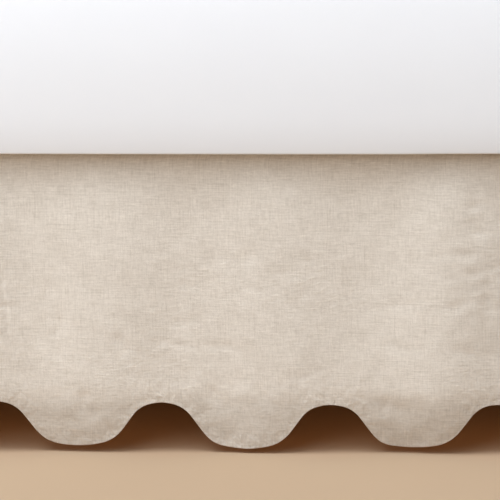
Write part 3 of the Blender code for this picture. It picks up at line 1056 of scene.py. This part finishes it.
print(len(mattress_rings()), "rings")

# %% [markdown]
# ## Making the mattress
#
# `bmesh.ops.create_circle` gives the first ring, and `extrude_edge_only` grows the next one from it,
# as often as there are rings. Filling the first and the last ring closes the form.

# %% Mattress
def next_ring(bm, ring):
    """A new ring of vertices extruded from a ring, in the same order."""
    edges = [bm.edges.get((ring[i - 1], ring[i])) for i in range(len(ring))]
    made = bmesh.ops.extrude_edge_only(bm, edges=edges)
    grown = {item for item in made["geom"] if isinstance(item, bmesh.types.BMVert)}
    climbs = [(edge.other_vert(vert), vert) for vert in grown for edge in vert.link_edges]
    above = {low: high for low, high in climbs if low not in grown}
    return [above[vert] for vert in ring]


def make_mattress():
    rings = mattress_rings()
    bm = bmesh.new()
    circle = bmesh.ops.create_circle(bm, segments=len(outline(0.0)), radius=1.0)
    ring = sorted(circle["verts"], key=lambda vert: math.atan2(vert.co.y, vert.co.x) % math.tau)
    for number, (inset, height) in enumerate(rings):
        if number:
            ring = next_ring(bm, ring)
        for vert, place in zip(ring, outline(inset)):
            vert.co = (place.x, place.y, lifted(place.x, place.y, height))
        if number in (0, len(rings) - 1):
            bmesh.ops.contextual_create(bm, geom=ring)
    bmesh.ops.recalc_face_normals(bm, faces=bm.faces)
    pin_weave(bm)
    obj = add_piece("mattress_in_sheet", bm, sheet_cloth, ["mattress"])
    return obj


make_mattress()

# %% [markdown]
# ## The base
#
# The base is a box of boards and springs under tight cloth. It starts as a cube, its upright edges
# are bevelled first and its rims second, as an upholsterer rounds the corners before pulling the
# cloth over them.

# %% Base
BASE_CORNER = 0.020
BASE_CORNER_SEGMENTS = 8
BASE_EDGE = 0.012
BASE_EDGE_SEGMENTS = 5


def round_edges(bm, edges, radius, segments):
    bmesh.ops.bevel(
        bm, geom=edges, offset=radius, offset_type="OFFSET", affect="EDGES", segments=segments,
        profile=0.5, material=-1,
    )


def is_upright(edge):
    return abs(edge.verts[0].co.z - edge.verts[1].co.z) > (base_high.z - base_low.z) / 2


def is_rim(edge):
    return not is_upright(edge) and any(abs(face.normal.z) > 0.9 for face in edge.link_faces)


def make_base():
    bm = bmesh.new()
    bmesh.ops.create_cube(bm, size=1.0)
    bmesh.ops.scale(bm, vec=base_high - base_low, verts=bm.verts)
    bmesh.ops.translate(bm, vec=(base_high + base_low) / 2, verts=bm.verts)
    upright = [edge for edge in bm.edges if is_upright(edge)]
    round_edges(bm, upright, BASE_CORNER, BASE_CORNER_SEGMENTS)
    rims = [edge for edge in bm.edges if is_rim(edge)]
    round_edges(bm, rims, BASE_EDGE, BASE_EDGE_SEGMENTS)
    pin_weave(bm)
    obj = add_piece("covered_base", bm, base_cloth, ["base"])
    return obj


make_base()

# %% [markdown]
# ## The legs
#
# The legs are turned on a lathe, and `bmesh.ops.spin` works the same way: one profile, from the
# middle of the foot up the tapered side to the middle of the top, is spun round the leg's axis.

# %% Legs
LEG_FOOT_RADIUS = 0.019
LEG_CHAMFER = 0.0015
LEG_STEPS = 48
LEG_SMOOTH_ANGLE = math.radians(30)
MERGE = 0.00001


def make_leg(name):
    low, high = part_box(name)
    centre = (low + high) / 2
    top_radius = (high.x - low.x) / 2
    profile = (
        (0.0, low.z), (LEG_FOOT_RADIUS - LEG_CHAMFER, low.z), (LEG_FOOT_RADIUS, low.z + LEG_CHAMFER),
        (top_radius, high.z), (0.0, high.z),
    )
    bm = bmesh.new()
    verts = [bm.verts.new((radius, 0.0, height)) for radius, height in profile]
    edges = [bm.edges.new(pair) for pair in zip(verts, verts[1:])]
    bmesh.ops.spin(
        bm, geom=verts + edges, cent=(0.0, 0.0, 0.0), axis=(0.0, 0.0, 1.0), angle=math.tau,
        steps=LEG_STEPS, use_merge=True,
    )
    bmesh.ops.remove_doubles(bm, verts=bm.verts, dist=MERGE)
    bmesh.ops.recalc_face_normals(bm, faces=bm.faces)
    bmesh.ops.translate(bm, vec=(centre.x, centre.y, 0.0), verts=bm.verts)
    return add_piece(f"turned_{name}", bm, wood, [name], smooth_angle=LEG_SMOOTH_ANGLE)


for number in range(1, 7):
    make_leg(f"leg_{number}")

# %% [markdown]
# ## The floor
#
# The floor is one plain, pale face in the colour of light wood, wide enough to fill the view.

# %% Floor
FLOOR_SIZE = 15.0
FLOOR_DARK = (0.366, 0.258, 0.168, 1.0)
FLOOR_LIGHT = (0.402, 0.286, 0.188, 1.0)


def make_floor():
    bm = bmesh.new()
    bmesh.ops.create_grid(bm, x_segments=1, y_segments=1, size=FLOOR_SIZE)
    mesh = bpy.data.meshes.new("floor")
    bm.to_mesh(mesh)
    bm.free()
    w = Wiring("floor")
    place = w.add("ShaderNodeTexCoord").outputs["Object"]
    soft = w.pattern(place, 0.5, 0.5, detail=3.0)
    w.put(w.shader, {
        "Base Color": w.mix(soft, FLOOR_DARK, FLOOR_LIGHT), "Roughness": 0.85,
        "Specular IOR Level": 0.0,
    })
    mesh.materials.append(w.material)
    obj = bpy.data.objects.new("floor", mesh)
    bpy.context.scene.collection.objects.link(obj)
    return obj


floor = make_floor()
print("made", floor.name)

# %% [markdown]
# ## The lamps
#
# Daylight from a tall window is like soft lamps one above the other. Five large area lamps stand in
# front of the bed and to its left, from nearly overhead to nearly level. The high ones are strongest
# and a little cooler, like the sky, and throw the mattress's soft shadow down the cloth. The low ones
# open that shadow again, and a sixth, low behind the bed, lights the floor between the scallops.

# %% Lamps
def make_area_lamp(name, size, power, color, matrix):
    """A rectangular lamp that lights but isn't seen."""
    data = bpy.data.lights.new(name, "AREA")
    data.shape = "RECTANGLE"
    data.size, data.size_y = size
    data.energy = power
    data.color = color
    obj = bpy.data.objects.new(name, data)
    obj.matrix_world = matrix
    obj.visible_camera = False
    bpy.context.scene.collection.objects.link(obj)
    return obj


class Lamp(NamedTuple):
    name: str
    round: float  # degrees round the bed, from straight in front towards the right
    up: float  # degrees above the floor
    away: float
    size: tuple
    power: float
    color: tuple


LAMP_WHITE = (0.925, 0.985, 1.045)
LAMP_SKY = (0.914, 0.993, 1.080)
LAMPS = (
    Lamp("top", -43.0, 74.0, 5.0, (2.6, 1.8), 204.0, LAMP_SKY),
    Lamp("high", -50.0, 62.0, 5.0, (2.4, 1.6), 123.0, LAMP_SKY),
    Lamp("middle", -31.0, 48.0, 5.0, (2.4, 1.6), 78.0, LAMP_WHITE),
    Lamp("low", -18.0, 32.0, 5.0, (1.6, 1.6), 38.0, LAMP_WHITE),
    Lamp("level", -31.0, 14.0, 5.0, (2.4, 1.6), 37.3, LAMP_WHITE),
    Lamp("behind", 158.0, 24.0, 4.0, (2.4, 1.6), 72.0, LAMP_WHITE),
)
LAMP_TARGET = Vector((0.0, -0.5, 0.3))


def make_lamp(lamp):
    """A lamp at its angles round the bed, turned towards the near side."""
    round_bed = Matrix.Rotation(math.radians(lamp.round), 3, "Z")
    back = round_bed @ Matrix.Rotation(math.radians(-lamp.up), 3, "X") @ Vector((0.0, -1.0, 0.0))
    aim = (-back).to_track_quat("-Z", "Y").to_matrix().to_4x4()
    matrix = Matrix.Translation(LAMP_TARGET + back * lamp.away) @ aim
    return make_area_lamp(lamp.name, lamp.size, lamp.power, lamp.color, matrix)


for lamp in LAMPS:
    make_lamp(lamp)
print(len(LAMPS), "lamps")

# %% [markdown]
# ## The glow under the bed
#
# Under the bed it isn't black: light comes through the linen and off the floor and turns a deep warm
# brown. Three very faint warm lamps under the base stand in for that light, which saves the renderer
# many bounces. The world is a dim, even grey that fills in the rest.

# %% Glow and world
class Glow(NamedTuple):
    name: str
    y: float
    size: tuple
    power: float


GLOW_HEIGHT = base_low.z - 0.004
GLOW_COLOR = (1.0, 0.49, 0.22)
GLOW_INSET = 0.050
GLOWS = (
    Glow("glow_middle", 0.0, (1.7, 0.75), 0.10),
    Glow("glow_near", base_low.y + GLOW_INSET, (1.8, 0.06), 0.32),
    Glow("glow_far", base_high.y - GLOW_INSET, (1.8, 0.06), 0.08),
)
WORLD_COLOR = (0.93, 0.94, 0.96, 1.0)
WORLD_STRENGTH = 0.09


def make_world():
    world = bpy.data.worlds.new("room")
    world.use_nodes = True
    background = world.node_tree.nodes["Background"]
    background.inputs["Color"].default_value = WORLD_COLOR
    background.inputs["Strength"].default_value = WORLD_STRENGTH
    bpy.context.scene.world = world


for glow in GLOWS:
    place = Matrix.Translation((0.0, glow.y, GLOW_HEIGHT))
    make_area_lamp(glow.name, glow.size, glow.power, GLOW_COLOR, place)
make_world()
bpy.context.scene.view_settings.view_transform = "Standard"
print(len(GLOWS), "glows and a world")
